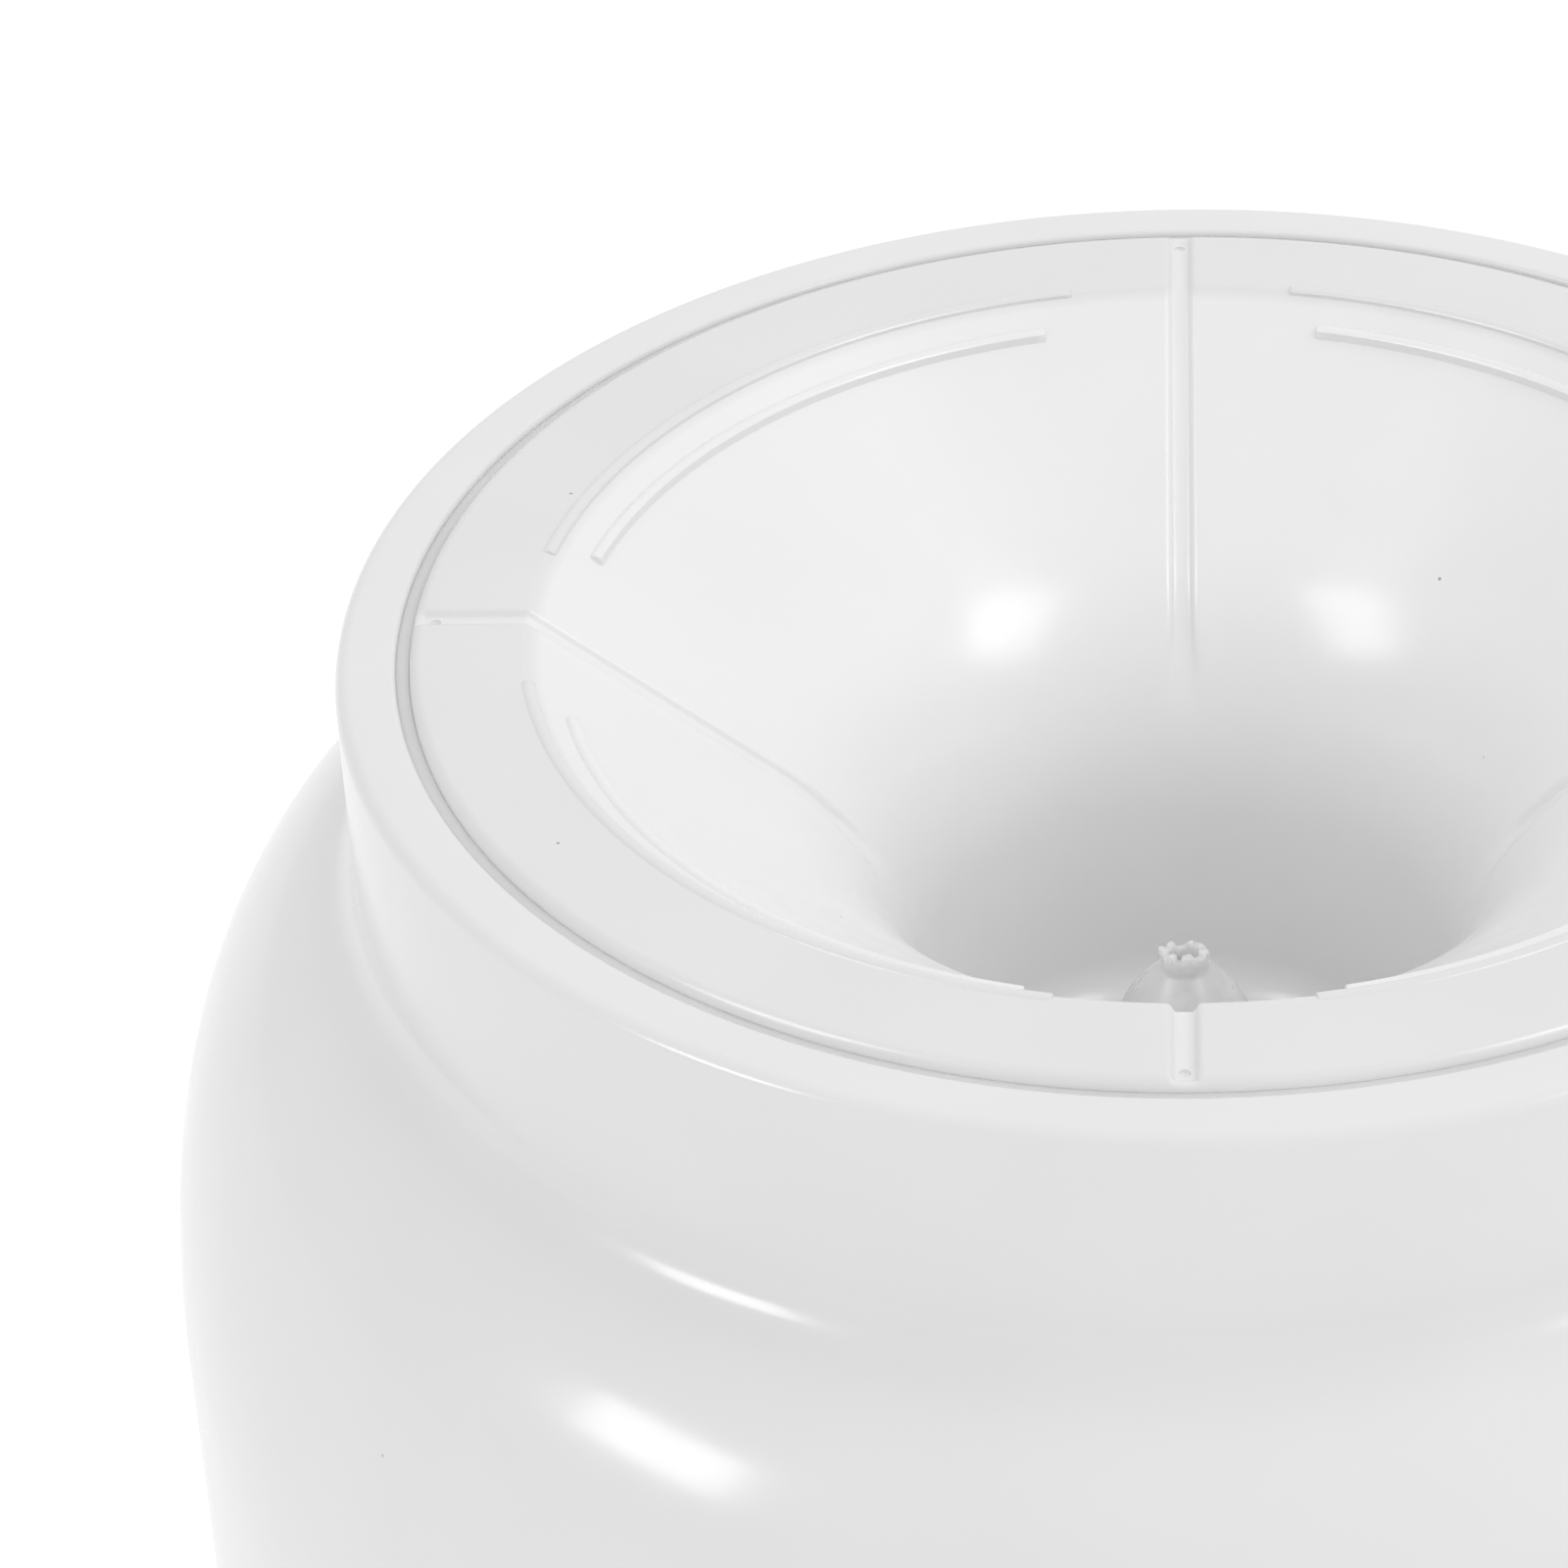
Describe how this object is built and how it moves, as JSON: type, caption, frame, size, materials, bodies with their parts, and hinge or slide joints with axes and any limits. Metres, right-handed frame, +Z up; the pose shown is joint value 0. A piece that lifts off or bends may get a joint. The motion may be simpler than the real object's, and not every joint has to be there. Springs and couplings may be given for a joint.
{
  "type": "ceramic crock fermenter",
  "caption": "Round white crock with a short neck, a lift-out spiked bowl that seats an upturned bottle, and a sprung press-lever draw-off tap.",
  "frame": {"origin": "centre of the crock's flat base, on the axis of the mouth", "axes": "+Z up along the axis of the crock, -Y to the front, where the tap is, +X to the right seen from the front"},
  "size_m": [0.3, 0.3784, 0.3303],
  "materials": {
    "crock_glaze": "smooth white gloss glaze with faint pinholes",
    "bowl_plastic": "moulded white plastic, soft gloss",
    "spike_plastic": "natural plastic, slightly translucent",
    "clear_silicone": "translucent milky silicone",
    "tap_plastic": "moulded white plastic, gloss",
    "spring_steel": "bright stainless wire"
  },
  "bodies": {
    "crock": {"crock_body": "crock_glaze", "tap_body": "tap_plastic", "tap_front_washer": "clear_silicone", "tap_inner_washer": "clear_silicone", "tap_nut": "tap_plastic", "tap_bonnet": "tap_plastic", "tap_bonnet_ring": "clear_silicone", "tap_spring": "spring_steel"},
    "bowl": {"insert_bowl": "bowl_plastic", "insert_gasket": "clear_silicone", "feed_spike": "spike_plastic", "spike_washer": "clear_silicone", "spike_nut": "bowl_plastic"},
    "valve": {"tap_stem": "tap_plastic", "tap_seat_cup": "clear_silicone"},
    "lever": {"tap_lever": "tap_plastic", "tap_lever_pin": "spring_steel"}
  },
  "joints": [
    {"name": "bowl_lift", "type": "slide", "parent": "crock", "child": "bowl", "axis": [0, 0, 1], "range_m": [0, 0.13]},
    {"name": "valve_rise", "type": "slide", "parent": "crock", "child": "valve", "axis": [0, 0, 1], "range_m": [0, 0.0036], "deforming": ["tap_spring"]},
    {"name": "lever_press", "type": "hinge", "parent": "valve", "child": "lever", "pos_m": [0, -0.1825, 0.092], "axis": [1, 0, 0], "range_deg": [0, 35], "stiffness_Nm_per_rad": 0.038, "springref_deg": -71.05}
  ],
  "couplings": [
    {"joint": "lever_press", "follows": "valve_rise", "rad_per_m": 169.68}
  ]
}
